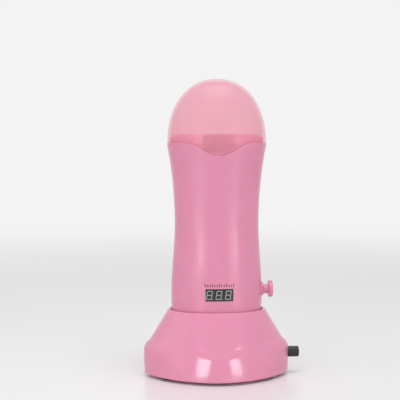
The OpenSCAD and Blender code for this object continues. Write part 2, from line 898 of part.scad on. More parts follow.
// Four feet, each set in a shallow recess of the plate.
module rubber_feet() {
    color(black) for (x = [-1, 1] * rest_x, y = [-1, 1] * rest_y) translate([x, y, 0]) {
        cylinder(r1 = rest_r - rest_edge, r2 = rest_r, h = rest_edge);
        translate([0, 0, rest_edge - eps]) cylinder(r = rest_r, h = foot_h + rest_depth - rest_edge + eps);
    }
}

module base_screws() {
    color(steel) for (x = [-1, 1] * base_screw_x, y = [-1, 1] * base_screw_y)
        translate([x, y, foot_h + base_head_h + fit])
            rotate([180, 0, 0]) screw(screw_r, base_screw_l, base_head_r, base_head_h);
}

// ---- Docking base: charging contacts ----

barrel_top = dock_z - dish_h - fit;
barrel_bottom = contact_board_z - 2.4;
barrel_floor = 0.6;
barrel_flange_r = 2.1;
plunger_r = 0.9;
plunger_tip = 0.3;
plunger_top = dock_z - fit;
plunger_bottom = barrel_bottom + 5.2;
plunger_travel = dish_h - fit;
spring_hole_r = 0.45;
contact_board_w = 28;
contact_board_d = 12;

module contact_board() {
    color(board_green) difference() {
        translate([-contact_board_w / 2, -contact_board_d / 2, contact_board_z])
            cube([contact_board_w, contact_board_d, board_t]);
        for (x = [-1, 1] * pad_x)
            translate([x, 0, contact_board_z - 1]) cylinder(r = barrel_r + run, h = board_t + 2);
        for (y = [-1, 1] * contact_screw_y)
            translate([0, y, contact_board_z - 1]) cylinder(r = small_hole_r, h = board_t + 2);
    }
}

module contact_board_screws() {
    color(steel) for (y = [-1, 1] * contact_screw_y)
        translate([0, y, contact_board_z])
            rotate([180, 0, 0]) screw(small_screw_r, contact_screw_l, small_head_r, small_head_h);
}

// The sleeves that the sprung pins slide in, soldered through the board. The pins stand in shallow
// dishes of the well's floor, where the handset's pads press them down.
module contact_barrels() {
    color(brass_gold) for (x = [-1, 1] * pad_x) translate([x, 0, 0]) difference() {
        union() {
            translate([0, 0, barrel_bottom]) cylinder(r = barrel_r, h = barrel_top - barrel_bottom);
            translate([0, 0, contact_board_z + board_t]) cylinder(r = barrel_flange_r, h = barrel_floor);
        }
        translate([0, 0, barrel_bottom + barrel_floor]) cylinder(r = plunger_r + run, h = far);
    }
}

// The springs under the pins, each drawn as the sleeve that its turns fill when the pin is down.
module contact_springs() {
    top = plunger_bottom - plunger_travel;
    color(steel) for (x = [-1, 1] * pad_x) translate([x, 0, barrel_bottom + barrel_floor]) difference() {
        cylinder(r = plunger_r - run, h = top - barrel_bottom - barrel_floor);
        translate([0, 0, -1]) cylinder(r = spring_hole_r, h = far);
    }
}

module contact_plunger(x) {
    color(brass_gold) translate([x, 0, 0]) {
        translate([0, 0, plunger_bottom])
            cylinder(r = plunger_r, h = plunger_top - plunger_tip - plunger_bottom);
        translate([0, 0, plunger_top - plunger_tip - eps])
            cylinder(r1 = plunger_r, r2 = plunger_r - plunger_tip, h = plunger_tip + eps);
    }
}

module contact_plunger_left() {
    contact_plunger(-pad_x);
}

module contact_plunger_right() {
    contact_plunger(pad_x);
}

// ---- Docking base: power button and inlet ----

button_end = skirt_r + button_out;
flange_in = 4.2;
flange_x = skirt_r - base_wall - flange_in;
flange_t = 1.2;
flange_lip = 0.9;
button_edge = 0.8;
button_dome = 0.3;
switch_in = 17.8;
switch_x = flange_x - switch_in;
plunger_w = 4;
plunger_end = flange_x + 3;
switch_bore_x = switch_x + 3;
plunger_x = switch_bore_x + button_travel + 0.5;
switch_board_size = [15, 21, board_t];

// A plain round button with a slightly domed end, and a flange inside the skirt that keeps it in.
module power_button() {
    flange_r = button_r + flange_lip;
    color(black) difference() {
        translate([0, 0, button_z]) rotate([0, 90, 0]) rotate_extrude()
            polygon(concat(
                [[0, flange_x], [flange_r, flange_x], [flange_r, flange_x + flange_t]],
                [[button_r, flange_x + flange_t]],
                arc(button_r - button_edge, button_end - button_dome - button_edge, button_edge, 0, 80, 4),
                [[button_r / 2, button_end - 0.08], [0, button_end]]
            ));
        translate([flange_x - 1, -plunger_w / 2 - run, button_z - plunger_w / 2 - run])
            cube([plunger_end + fit - flange_x + 1, plunger_w + 2 * run, plunger_w + 2 * run]);
    }
}

module switch_plunger() {
    color([0.92, 0.92, 0.90])
        translate([plunger_x, -plunger_w / 2, button_z - plunger_w / 2])
            cube([plunger_end - plunger_x, plunger_w, plunger_w]);
}

// A push switch that latches, with a square bore for its plunger.
module power_switch() {
    color([0.25, 0.25, 0.27]) difference() {
        translate([switch_x, -switch_body[1] / 2, switch_z + board_t]) cube(switch_body);
        translate([switch_bore_x, -plunger_w / 2 - fit, button_z - plunger_w / 2 - fit])
            cube([switch_body[0], plunger_w + 2 * fit, plunger_w + 2 * fit]);
    }
}

module switch_board() {
    color(board_green) difference() {
        translate([switch_x - 1, -switch_board_size[1] / 2, switch_z]) cube(switch_board_size);
        for (y = [-1, 1] * switch_post_y)
            translate([switch_post_x, y, switch_z - 1]) cylinder(r = small_hole_r, h = board_t + 2);
    }
}

module switch_board_screws() {
    color(steel) for (y = [-1, 1] * switch_post_y)
        translate([switch_post_x, y, switch_z + board_t])
            screw(small_screw_r, switch_screw_l, small_head_r, small_head_h);
}

inlet_socket_d = 11;
inlet_socket_y = inlet_end - inlet_socket_d;
inlet_socket_r = 3.9;
inlet_slot_h = 5.6;
inlet_tail_l = 4;
inlet_tail_y = inlet_y - inlet_tail_l;
inlet_tail_r = 1;
pin_r = 1.2;
pin_h = 8;

// The socket for the mains lead, in the rear of the skirt.
module power_inlet() {
    color(black) difference() {
        union() {
            inlet_bar(inlet_r, inlet_y, inlet_end);
            translate([-inlet_flange[0] / 2, inlet_flange_y, inlet_z - 6]) cube(inlet_flange);
        }
        for (x = [-1, 1] * inlet_c) translate([x, 0, inlet_z]) rotate([-90, 0, 0]) {
            translate([0, 0, inlet_socket_y]) cylinder(r = inlet_socket_r, h = far);
            cylinder(r = inlet_tail_r + run, h = far);
        }
        translate([-inlet_c, inlet_socket_y, inlet_z - inlet_slot_h / 2])
            cube([2 * inlet_c, far, inlet_slot_h]);
    }
}

// Two round pins with domed tips, each on a thinner tail.
module inlet_pins() {
    color(brass_gold) for (x = [-1, 1] * inlet_c) translate([x, 0, inlet_z]) rotate([-90, 0, 0]) {
        translate([0, 0, inlet_tail_y]) cylinder(r = inlet_tail_r, h = inlet_socket_y - inlet_tail_y + eps);
        translate([0, 0, inlet_socket_y]) cylinder(r = pin_r, h = pin_h);
        translate([0, 0, inlet_socket_y + pin_h]) sphere(r = pin_r);
    }
}

// The wires from the inlet to the switch and the contact board.
module base_wires() {
    under = contact_board_z;
    over = switch_z + board_t;
    from_inlet = function(x, l) [[x, inlet_tail_y, inlet_z], [x, inlet_tail_y - l, inlet_z]];
    to_switch = switch_x + 5;
    color(wire_red)
        wire(concat(from_inlet(-inlet_c, 4), [[-6, 9, 18], [-6, 4.5, 23], [-6, 4.5, under]]), mains_wire_r);
    color(black)
        wire(concat(
            from_inlet(inlet_c, 2.4),
            [[to_switch - 8, 15.6, 15], [to_switch, 9.6, 15.5], [to_switch, 9.6, over]]
        ), mains_wire_r);
    color(black)
        wire([
            [to_switch + 2, -8, over], [to_switch + 2, -8, 15.5], [to_switch - 6, -5.4, 17.5],
            [12, -4.5, 20], [6, -4.5, 23], [6, -4.5, under]
        ], mains_wire_r);
}

// ---- Output ----

front_shell();
rear_shell();
collar();
bottom_cover();
cap();
heating_chamber();
heating_element();
heater_clips();
thermal_fuse();
temperature_sensor();
control_board();
board_components();
display_module();
display_window();
potentiometer();
potentiometer_shaft();
temperature_knob();
contact_pads();
shell_screws();
bottom_screws();
board_screws();
handset_wires();
base_shell();
base_plate();
rubber_feet();
base_screws();
contact_board();
contact_board_screws();
contact_barrels();
contact_springs();
contact_plunger_left();
contact_plunger_right();
power_button();
switch_plunger();
power_switch();
switch_board();
switch_board_screws();
power_inlet();
inlet_pins();
base_wires();
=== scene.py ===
"""Dresses the roll on wax heater: smooth shells, a frosted cap, a display and moulded plastics."""

import math

import bmesh
import bpy
import numpy as np
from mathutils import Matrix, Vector


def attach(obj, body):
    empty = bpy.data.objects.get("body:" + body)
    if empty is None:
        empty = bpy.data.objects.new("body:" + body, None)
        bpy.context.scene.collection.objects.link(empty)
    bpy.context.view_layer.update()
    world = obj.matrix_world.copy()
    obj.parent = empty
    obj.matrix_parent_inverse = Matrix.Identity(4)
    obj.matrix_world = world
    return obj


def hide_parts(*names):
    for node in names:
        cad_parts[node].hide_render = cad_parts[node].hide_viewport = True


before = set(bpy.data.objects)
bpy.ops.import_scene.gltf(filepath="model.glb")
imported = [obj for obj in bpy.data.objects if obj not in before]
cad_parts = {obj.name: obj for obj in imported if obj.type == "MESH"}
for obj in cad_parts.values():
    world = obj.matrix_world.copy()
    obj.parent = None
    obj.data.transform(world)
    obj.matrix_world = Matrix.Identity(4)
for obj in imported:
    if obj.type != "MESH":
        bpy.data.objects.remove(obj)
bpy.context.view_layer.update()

MM = 0.001
TAU = 2 * math.pi

# All sizes are in millimetres. R is half a width, D half a depth, Z or X a place and H a height.
# The sizes of this first group follow the part's source.

# The handset is an oval in plan, and its width follows the waist, the seam, the belly and the foot.
WAIST_R, WAIST_Z = 31.2, 114.0
SEAM_R, SEAM_Z = 37.0, 173.0
BELLY_R, BELLY_Z = 33.75, 62.0
FOOT_R, DOCK_Z = 31.8, 34.0
COVER_Z = DOCK_Z + 3
DEPTH = 0.68
WALL = 2.0
SCREW_X, SCREW_Z, SCREW_HOLE_R = 25.5, 44.0, 2.4

# The seam dips in a wave at the front and the back, and the cap and the collar follow it.
DIP_H, DIP_W = 9.3, 52.0
TOP_Z, DOME_POWER = 220.0, 2.15
CAP_WALL, CAP_STEP = 1.8, 0.5
CAP_R = SEAM_R - CAP_STEP
GROOVE_Z = 158.0
COLLAR_R, COLLAR_D, COLLAR_FLAT_R = 34.3, 21.4, 26.5
COLLAR_SHOULDER_Z, COLLAR_TOP_Z = 176.0, 179.5
COLLAR_GAP = 0.4
MOUTH_R, MOUTH_C = 13.2, 10.6
NOTCH_W, NOTCH_Z = 24.0, 165.0

# The display on the front, and the knob on the side.
DISPLAY_W, DISPLAY_H, DISPLAY_Z = 20.0, 8.7, 63.0
WINDOW_BACK, WINDOW_GAP = -19.3, 0.15
KNOB_Z, KNOB_R, KNOB_T = 64.0, 6.2, 3.0
BOSS_R, BOSS_BORE, BOSS_X = 5.0, 3.75, 34.6
HUB_R, HUB_BORE = 3.5, 2.06
DISC_X = BOSS_X + 4.2

# The docking base, with its button and inlet.
SKIRT_R, SKIRT_D = 54.2, 38.0
RIM_R, RIM_D, RIM_Z, FOOT_H = 36.0, 24.8, 50.0, 2.2
DOCK_GAP, BASE_WALL = 0.9, 2.2
DISH_R, DISH_H = 3.2, 0.9
CONTACT_X, CONTACT_HOLE_R = 9.0, 1.6
BUTTON_R, BUTTON_OUT, BUTTON_Z, BUTTON_GAP = 4.0, 8.0, 16.3, 0.2
FLANGE_W, FLANGE_T, PLUNGER_BORE = 0.9, 1.2, 2.9
INLET_Z, INLET_R, INLET_C, INLET_GAP = 13.0, 4.7, 4.3, 0.1

# Sizes that only the looks have. First the roundings of the edges.
SEAM_ROUND, SPLIT_ROUND, INNER_ROUND = 0.8, 0.25, 0.15
LIP_ROUND, MOUTH_ROUND, BOSS_ROUND = 0.4, 0.8, 0.35
RIM_ROUND, EDGE_ROUND, WINDOW_ROUND = 0.8, 0.6, 0.35

# The base's plan, from a pointed oval at the foot to an ellipse at the rim: a lower power rounds the tips.
FOOT_POWER, RIM_POWER, TIP_SOFT = 0.78, 0.5, 0.05
FLARE_POWER = 1.28
# Its tips fall from the rim in a straight bell to a shoulder, and tuck in at the foot.
TIP_COS = 0.78
BELL_SLOPE, SHOULDER_R, SHOULDER_Z = 0.60, 8.0, 27.5
BLEND, BLEND_Z, BLEND_H = 3.0, 20.0, 6.0
TUCK, TUCK_Z = 0.6, 14.0
# Its front swells in a soft nose, below a crease that sags like a smile.
SMILE_Z, SMILE_RISE, CREASE = 23.2, 0.9, 0.16
NOSE_OUT, NOSE_W, NOSE_FOOT, NOSE_ROLL = 1.7, 11.5, 0.3, 5.5

# The knob's pointer, the digits and the scale over them.
POINTER_W, POINTER_L, POINTER_DEEP, POINTER_UP = 0.8, 3.6, 0.4, 3.6
DIGIT_W, DIGIT_H, STROKE, PITCH, DIGITS_X = 4.1, 6.4, 0.52, 6.85, -0.45
SLANT, DOT_R, DOT_OUT = 0.17, 0.36, 0.75
SCALE_UP, SCALE_PITCH, SCALE_TICKS = 1.6, 1.72, 13
TICK_W, LONG_TICK, SHORT_TICK = 0.6, 2.3, 1.6


# ---- Rules that the ovals follow ----

def body_r(z):
    """Half width of the handset at height z."""
    z = np.asarray(z, float)
    upper = WAIST_R + (SEAM_R - WAIST_R) * ((z - WAIST_Z) / (SEAM_Z - WAIST_Z)) ** 2
    turn = np.pi * (WAIST_Z - z) / (WAIST_Z - BELLY_Z)
    middle = WAIST_R + (BELLY_R - WAIST_R) * (1 - np.cos(turn)) / 2
    lower = BELLY_R - (BELLY_R - FOOT_R) * ((BELLY_Z - z) / (BELLY_Z - DOCK_Z)) ** 2
    return np.where(z > WAIST_Z, upper, np.where(z > BELLY_Z, middle, lower))


def inner_ratio(t, r=BELLY_R):
    """Depth over width of the oval inside a wall of thickness t."""
    return (DEPTH * r - t) / (r - t)


def dip(x):
    """How far the seam drops at x."""
    return np.where(np.abs(x) < DIP_W / 2, DIP_H * (1 + np.cos(TAU * x / DIP_W)) / 2, 0.0)


def seam_height(angle):
    """Height of the seam at an angle round the handset, which depends on the width at that height."""
    z = SEAM_Z
    for _ in range(12):
        z = SEAM_Z - float(dip(float(body_r(z)) * math.cos(angle)))
    return z


def oval_point(r, ratio, angle, z):
    """A point of the oval with half width r at height z."""
    return (r * math.cos(angle), ratio * r * math.sin(angle), z)


def arc(cx, cy, r, start, end, steps):
    """Points of an arc, angles in degrees."""
    angles = np.radians(np.linspace(start, end, steps + 1))
    return [(cx + r * math.cos(a), cy + r * math.sin(a)) for a in angles]


def smooth_step(x):
    """Rises smoothly from 0 to 1 as x does."""
    x = np.clip(x, 0, 1)
    return x * x * (3 - 2 * x)


def soft_min(a, b, k):
    """The smaller of two lengths, blended where they differ by less than k."""
    h = np.maximum(k - np.abs(a - b), 0) / k
    return np.minimum(a, b) - h * h * k / 4


# ---- Making meshes ----

def shade(mesh, sharp):
    """Smooth shading, except along edges sharper than the angle in degrees."""
    mesh.shade_smooth()
    mesh.set_sharp_from_angle(angle=math.radians(sharp))


def add_object(name, points, faces, sharp=40):
    """A mesh object from points in millimetres, doubled points merged and its faces turned outwards."""
    mesh = bpy.data.meshes.new(name)
    mesh.from_pydata([tuple(c * MM for c in p) for p in points], [], faces)
    obj = bpy.data.objects.new(name, mesh)
    bpy.context.scene.collection.objects.link(obj)
    work = bmesh.new()
    work.from_mesh(mesh)
    bmesh.ops.remove_doubles(work, verts=work.verts, dist=2e-6)
    bmesh.ops.dissolve_degenerate(work, edges=work.edges, dist=1e-6)
    bmesh.ops.recalc_face_normals(work, faces=work.faces)
    work.to_mesh(mesh)
    work.free()
    shade(mesh, sharp)
    return obj


def grid_faces(rows, columns, wrap_rows=False, wrap_columns=False):
    """The faces of a grid of points, which may close on itself either way."""
    faces = []
    for i in range(rows if wrap_rows else rows - 1):
        for j in range(columns if wrap_columns else columns - 1):
            k, m = (i + 1) % rows, (j + 1) % columns
            faces.append((i * columns + j, k * columns + j, k * columns + m, i * columns + m))
    return faces


def loft(name, rings, round_rings=True, turn=False, ends=False, sharp=40):
    """Joins rings of equally many points: turn joins the last ring to the first, ends fills both ends."""
    rows, columns = len(rings), len(rings[0])
    faces = grid_faces(rows, columns, wrap_rows=turn, wrap_columns=round_rings)
    if ends:
        faces.append(tuple(range(columns))[::-1])
        faces.append(tuple((rows - 1) * columns + j for j in range(columns)))
    return add_object(name, [p for ring in rings for p in ring], faces, sharp)


def lathe(name, outline, axis, centre, steps=96, sharp=35):
    """Turns an outline of (radius, distance along the axis) about an axis, X or Z, through a point."""
    rings = []
    for i in range(steps):
        a = TAU * i / steps
        ring = []
        for r, d in outline:
            c, s = r * math.cos(a), r * math.sin(a)
            local = (d, c, s) if axis == "X" else (c, s, d)
            ring.append(tuple(u + v for u, v in zip(local, centre)))
        rings.append(ring)
    return loft(name, rings, round_rings=False, turn=True, sharp=sharp)


def carve(obj, cutters, sharp=40):
    """Cuts the other objects out of obj and deletes them."""
    for cutter in cutters:
        cut = obj.modifiers.new("cut", "BOOLEAN")
        cut.operation = "DIFFERENCE"
        cut.solver = "EXACT"
        cut.object = cutter
    bpy.context.view_layer.update()
    shape = obj.evaluated_get(bpy.context.evaluated_depsgraph_get())
    mesh = bpy.data.meshes.new_from_object(shape)
    obj.modifiers.clear()
    obj.data = mesh
    for cutter in cutters:
        bpy.data.objects.remove(cutter)
    shade(mesh, sharp)


def rounded_bar(name, outline, low, high, axis):
    """Extrudes a closed outline along Y (outline in X and Z) or along X (outline in Y and Z)."""
    def place(u, v, d):
        return (u, d, v) if axis == "Y" else (d, u, v)
    rings = [[place(u, v, d) for u, v in outline] for d in (low, high)]
    return loft(name, rings, ends=True)


def stadium(r, c, cx, cz, steps=24):
    """A flat-sided oval, round at both ends."""
    right = arc(cx + c, cz, r, -90, 90, steps)
    left = arc(cx - c, cz, r, 90, 270, steps)
    return right + left


def rounded_box(w, h, r, cx, cz, steps=8):
    """A rectangle with round corners."""
    corners = [(1, 1, 0), (-1, 1, 90), (-1, -1, 180), (1, -1, 270)]
    points = []
    for sx, sz, a in corners:
        points += arc(cx + sx * (w / 2 - r), cz + sz * (h / 2 - r), r, a, a + 90, steps)
    return points


# ---- Materials ----

def linear(colour):
    """An sRGB colour of 0 to 255 as Blender's linear values."""
    values = []
    for c in colour:
        c /= 255
        values.append(c / 12.92 if c <= 0.04045 else ((c + 0.055) / 1.055) ** 2.4)
    return (*values, 1.0)


def add_node(tree, kind, **inputs):
    """A shader node with values on its sockets, each named with _ for a space."""
    new = tree.nodes.new(kind)
    for key, value in inputs.items():
        new.inputs[key.replace("_", " ")].default_value = value
    return new


def material(name, colour, rough, metal=0.0, grain=900.0, bump=0.03, mottle=0.02, stretch=(1, 1, 1),
             **shader):
    """A Principled material whose colour, roughness and surface vary finely, as a moulded part's do."""
    mat = bpy.data.materials.new(name)
    mat.use_nodes = True
    tree = mat.node_tree
    bsdf = tree.nodes["Principled BSDF"]
    bsdf.inputs["Metallic"].default_value = metal
    for key, value in shader.items():
        bsdf.inputs[key.replace("_", " ")].default_value = value
    coords = tree.nodes.new("ShaderNodeTexCoord")
    mapping = add_node(tree, "ShaderNodeMapping", Scale=stretch)
    tree.links.new(coords.outputs["Object"], mapping.inputs["Vector"])
    broad = add_node(tree, "ShaderNodeTexNoise", Scale=45.0, Detail=3.0)
    fine = add_node(tree, "ShaderNodeTexNoise", Scale=grain, Detail=2.0)
    for noise in (broad, fine):
        tree.links.new(mapping.outputs["Vector"], noise.inputs["Vector"])
    ramp = tree.nodes.new("ShaderNodeValToRGB")
    base = linear(colour)
    for stop, place, gain in ((0, 0.3, 1 - mottle), (1, 0.7, 1 + mottle)):
        ramp.color_ramp.elements[stop].position = place
        ramp.color_ramp.elements[stop].color = (*(min(1.0, c * gain) for c in base[:3]), 1.0)
    tree.links.new(broad.outputs["Fac"], ramp.inputs["Fac"])
    tree.links.new(ramp.outputs["Color"], bsdf.inputs["Base Color"])
    spread = add_node(tree, "ShaderNodeMapRange", To_Min=rough - 0.04, To_Max=rough + 0.04)
    tree.links.new(fine.outputs["Fac"], spread.inputs["Value"])
    tree.links.new(spread.outputs["Result"], bsdf.inputs["Roughness"])
    relief = add_node(tree, "ShaderNodeBump", Strength=bump, Distance=0.0002)
    tree.links.new(fine.outputs["Fac"], relief.inputs["Height"])
    tree.links.new(relief.outputs["Normal"], bsdf.inputs["Normal"])
    return mat


# The pink plastics: glossy on the handset, glossier on the base, and frosted and see-through on the cap.
glow_through = {"Subsurface_Weight": 0.08, "Subsurface_Scale": 0.004}
body_pink = material("body_pink", (231, 144, 176), 0.17, grain=700, bump=0.02, Coat_Weight=0.15,
                     Coat_Roughness=0.08, **glow_through)
base_pink = material("base_pink", (233, 146, 178), 0.16, grain=700, bump=0.02, Coat_Weight=0.3,
                     Coat_Roughness=0.09, **glow_through)
cap_pink = material("cap_pink", (255, 174, 196), 0.34, grain=1500, bump=0.04, mottle=0.01, Alpha=0.36)
# The collar's pink is brighter than the body's: painted light that makes up for the shade the cap casts on
# the collar inside it.
collar_pink_painted_light = material("collar_pink_painted_light", (255, 148, 184), 0.26, grain=700, bump=0.02)

# The display, the button, the print and the feet.
black_plastic = material("black_plastic", (26, 26, 27), 0.42, grain=2500, bump=0.1, mottle=0.15)
black_rubber = material("black_rubber", (30, 30, 31), 0.75, grain=3000, bump=0.2, mottle=0.15)
display_black = material("display_black", (40, 43, 42), 0.28, grain=2000, bump=0.02, mottle=0.1)
segment_grey = material("segment_grey", (172, 177, 173), 0.4, grain=3000, bump=0.02)
print_maroon = material("print_maroon", (84, 14, 46), 0.45, grain=3000, bump=0.02)

# What the housing holds. The chamber is drawn along its height, so its grain is stretched that way.
aluminium = material("aluminium", (196, 197, 200), 0.32, metal=1.0, grain=900, bump=0.05,
                     stretch=(1, 1, 0.06))
steel = material("steel", (190, 190, 193), 0.3, metal=1.0, grain=2500, bump=0.05)
brass = material("brass", (214, 176, 100), 0.25, metal=1.0, grain=2500, bump=0.03)
board_green = material("board_green", (22, 92, 58), 0.35, grain=1500, bump=0.05, mottle=0.12)
element_amber = material("element_amber", (190, 110, 34), 0.35, grain=1200, bump=0.05, mottle=0.1)
wire_red = material("wire_red", (176, 38, 32), 0.4, grain=2000, bump=0.05)
switch_white = material("switch_white", (234, 232, 226), 0.4, grain=2000, bump=0.05)


def dress(obj, mat, body):
    """Gives a piece of the scene its material and its body."""
    obj.data.materials.clear()
    obj.data.materials.append(mat)
    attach(obj, body)


# ---- Handset ----

def shell(name, start, end):
    """A half shell from one split to the other, its seam rounded over and its split edges softened."""
    heights = np.concatenate([
        np.linspace(0, 0.02, 3),
        np.linspace(0.03, 0.97, 110),
        np.linspace(0.98, 1, 4),
    ])
    near = np.array([0, 0.08, 0.25, 0.5]) / SEAM_R
    middle = np.linspace(near[-1] * 2, math.pi - near[-1] * 2, 118)
    angles = start + np.concatenate([near, middle, math.pi - near[::-1]])
    ratio = inner_ratio(WALL)
    rings = []
    for angle in angles:
        missing = max(0.0, SPLIT_ROUND - min(angle - start, end - angle) * BELLY_R)
        soft = SPLIT_ROUND - math.sqrt(max(0.0, SPLIT_ROUND ** 2 - missing ** 2))
        top = seam_height(angle)
        top_r = float(body_r(top))
        ring = []
        for h in heights:
            z = COVER_Z + (top - SEAM_ROUND - COVER_Z) * h
            ring.append(oval_point(float(body_r(z)) - soft, DEPTH, angle, z))
        for a in np.radians((25, 50, 75, 90)):
            inset = SEAM_ROUND * (1 - math.cos(a))
            z = top - SEAM_ROUND * (1 - math.sin(a))
            ring.append(oval_point(top_r - inset - soft, DEPTH, angle, z))
        ring.append(oval_point(top_r - WALL + INNER_ROUND, ratio, angle, top))
        for h in (0.998, 0.97, 0.9, 0.6, 0.3, 0):
            z = COVER_Z + (top - INNER_ROUND - COVER_Z) * h
            ring.append(oval_point(float(body_r(z)) - WALL, ratio, angle, z))
        rings.append(ring)
    return loft(name, rings, ends=True, sharp=50)


front = shell("front_case", math.pi, TAU)
window_edge = rounded_box(
    DISPLAY_W + 2 * WINDOW_GAP, DISPLAY_H + 2 * WINDOW_GAP, WINDOW_ROUND, 0, DISPLAY_Z)
carve(front, [rounded_bar("window_hole", window_edge, -40, -14, "Y")])
dress(front, body_pink, "handset")
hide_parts("front_shell")

rear = shell("rear_case", 0, math.pi)
screw_edges = [arc(x, SCREW_Z, SCREW_HOLE_R, 0, 345, 23) for x in (-SCREW_X, SCREW_X)]
carve(rear, [rounded_bar("screw_hole", edge, 8, 40, "Y") for edge in screw_edges])
dress(rear, body_pink, "handset")
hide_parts("rear_shell")


def boss_outline():
    """The ring on the shell that the knob's hub turns in, its outer edge rounded."""
    foot = 31.5
    points = [(BOSS_BORE, foot), (BOSS_R, foot), (BOSS_R, BOSS_X - BOSS_ROUND)]
    points += arc(BOSS_R - BOSS_ROUND, BOSS_X - BOSS_ROUND, BOSS_ROUND, 0, 90, 5)
    points += [(BOSS_BORE + 0.15, BOSS_X), (BOSS_BORE, BOSS_X - 0.15), (BOSS_BORE, foot)]
    return points


boss = lathe("knob_boss", boss_outline(), "X", (0, 0, KNOB_Z))
dress(boss, body_pink, "handset")


def knob_outline():
    """From the hub's face at the boss, up the disc's back and round to the centre of its outer face."""
    start, end = BOSS_X + 0.3, DISC_X + KNOB_T
    fillet, back_round, front_round = 0.7, 0.4, 0.9
    points = [(HUB_BORE, start), (HUB_R - 0.15, start), (HUB_R, start + 0.15), (HUB_R, DISC_X - fillet)]
    points += arc(HUB_R + fillet, DISC_X - fillet, fillet, 180, 90, 6)
    points += arc(KNOB_R - back_round, DISC_X + back_round, back_round, -90, 0, 4)
    points += arc(KNOB_R - front_round, end - front_round, front_round, 0, 80, 8)
    points += [(KNOB_R * 0.6, end - 0.06), (KNOB_R * 0.3, end - 0.01), (0, end)]
    return points


knob = lathe("knob_disc", knob_outline(), "X", (0, 0, KNOB_Z), steps=128)
pointer_edge = rounded_box(POINTER_W, POINTER_L, POINTER_W / 2 - 0.01, 0, KNOB_Z + POINTER_UP)
carve(knob, [rounded_bar("pointer", pointer_edge, DISC_X + KNOB_T - POINTER_DEEP, DISC_X + 6, "X")])
dress(knob, body_pink, "knob")
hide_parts("temperature_knob")


def collar_side(angle, r, z):
    """A point of the collar's upright oval, kept inside the shells where they narrow."""
    c, s = math.cos(angle), math.sin(angle)
    narrow = float(body_r(z)) - WALL - COLLAR_GAP
    upright = 1 / math.hypot(c / r, s / (r * COLLAR_D / COLLAR_R))
    inside = 1 / math.hypot(c / narrow, s / (narrow * inner_ratio(WALL + COLLAR_GAP)))
    reach = min(upright, inside)
    return (reach * c, reach * s, z)


def collar_mouth(angle, r, z):
    """A point of the mouth, a stadium, met along the ray at the angle."""
    c, s = math.cos(angle), math.sin(angle)
    flat = abs(r / s) if abs(s) > 1e-9 else 1e9
    if abs(flat * c) <= MOUTH_C:
        return (flat * c, flat * s, z)
    b = MOUTH_C * abs(c)
    reach = b + math.sqrt(max(0.0, b * b - MOUTH_C ** 2 + r * r))
    return (reach * c, reach * s, z)


def collar_rings():
    """From the collar's hidden foot up its side, over the shoulder, across the top and into the mouth."""
    steps = 160
    angles = [TAU * (i + 0.5) / steps for i in range(steps)]
    rings = []
    for z in np.linspace(GROOVE_Z, COLLAR_SHOULDER_Z, 16):
        rings.append([collar_side(a, COLLAR_R, z) for a in angles])
    rise = COLLAR_TOP_Z - COLLAR_SHOULDER_Z
    for t in np.radians(np.linspace(6, 90, 15)):
        r = COLLAR_FLAT_R + (COLLAR_R - COLLAR_FLAT_R) * math.cos(t)
        z = COLLAR_SHOULDER_Z + rise * math.sin(t)
        rings.append([collar_side(a, r, z) for a in angles])
    for inset, drop in arc(MOUTH_ROUND, MOUTH_ROUND, MOUTH_ROUND, -90, -180, 5):
        rings.append([collar_mouth(a, MOUTH_R + inset, COLLAR_TOP_Z - drop) for a in angles])
    for z in (172, 165, GROOVE_Z):
        rings.append([collar_mouth(a, MOUTH_R, z) for a in angles])
    return rings


collar = loft("collar_ring", collar_rings(), turn=True, sharp=45)
notch_edge = rounded_box(NOTCH_W, 40, 3, 0, NOTCH_Z + 20)
carve(collar, [rounded_bar("notch", notch_edge, -30, 0, "Y")], sharp=35)
dress(collar, collar_pink_painted_light, "handset")
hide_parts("collar")


def dome_point(inset, ratio, angle, climb):
    """A point of the dome, inset from its outside, at an angle round it and a climb in degrees up it."""
    c, s = math.cos(math.radians(climb)), math.sin(math.radians(climb))
    r = (CAP_R - inset) * max(c, 0.0) ** (2 / DOME_POWER)
    return oval_point(r, ratio, angle, SEAM_Z + (TOP_Z - SEAM_Z - inset) * s ** (2 / DOME_POWER))


def cap_rings():
    """Round the dome: down its inside, over the lip that follows the seam, and up its outside."""
    steps, lip_gap, dip_ease = 192, 0.1, 0.15
    climbs = np.linspace(0, 90, 64)[1:]
    ratio = inner_ratio(CAP_WALL, CAP_R)
    rings = []
    for i in range(steps):
        angle = TAU * i / steps
        fall = float(dip(CAP_R * math.cos(angle))) * (DIP_H - dip_ease) / DIP_H
        low = SEAM_Z - fall + lip_gap
        low_r = float(body_r(low)) - CAP_STEP
        ring = [dome_point(CAP_WALL, ratio, angle, climb) for climb in climbs[::-1]]
        for h in np.linspace(1, 0, 8):
            z = min(low + LIP_ROUND / 2 + (SEAM_Z - low) * h, SEAM_Z)
            ring.append(oval_point(float(body_r(z)) - CAP_STEP - CAP_WALL, ratio, angle, z))
        ring.append(oval_point(low_r - CAP_WALL + LIP_ROUND / 2, ratio, angle, low))
        for a in np.radians((90, 60, 30)):
            inset = LIP_ROUND * (1 - math.cos(a))
            z = low + LIP_ROUND * (1 - math.sin(a))
            ring.append(oval_point(low_r - inset, DEPTH, angle, z))
        for h in np.linspace(0, 1, 8):
            z = min(low + LIP_ROUND + (SEAM_Z - low) * h, SEAM_Z)
            ring.append(oval_point(float(body_r(z)) - CAP_STEP, DEPTH, angle, z))
        ring += [dome_point(0, DEPTH, angle, climb) for climb in climbs]
        rings.append(ring)
    return rings


cap = loft("cap_dome", cap_rings(), round_rings=False, turn=True, sharp=60)
dress(cap, cap_pink, "cap")
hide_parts("cap")


# ---- Display ----

def on_front(x, z, lift):
    """A point on the front shell's curved face, lifted by a little."""
    r = float(body_r(z))
    return (x, -DEPTH * math.sqrt(r * r - x * x) - lift, z)


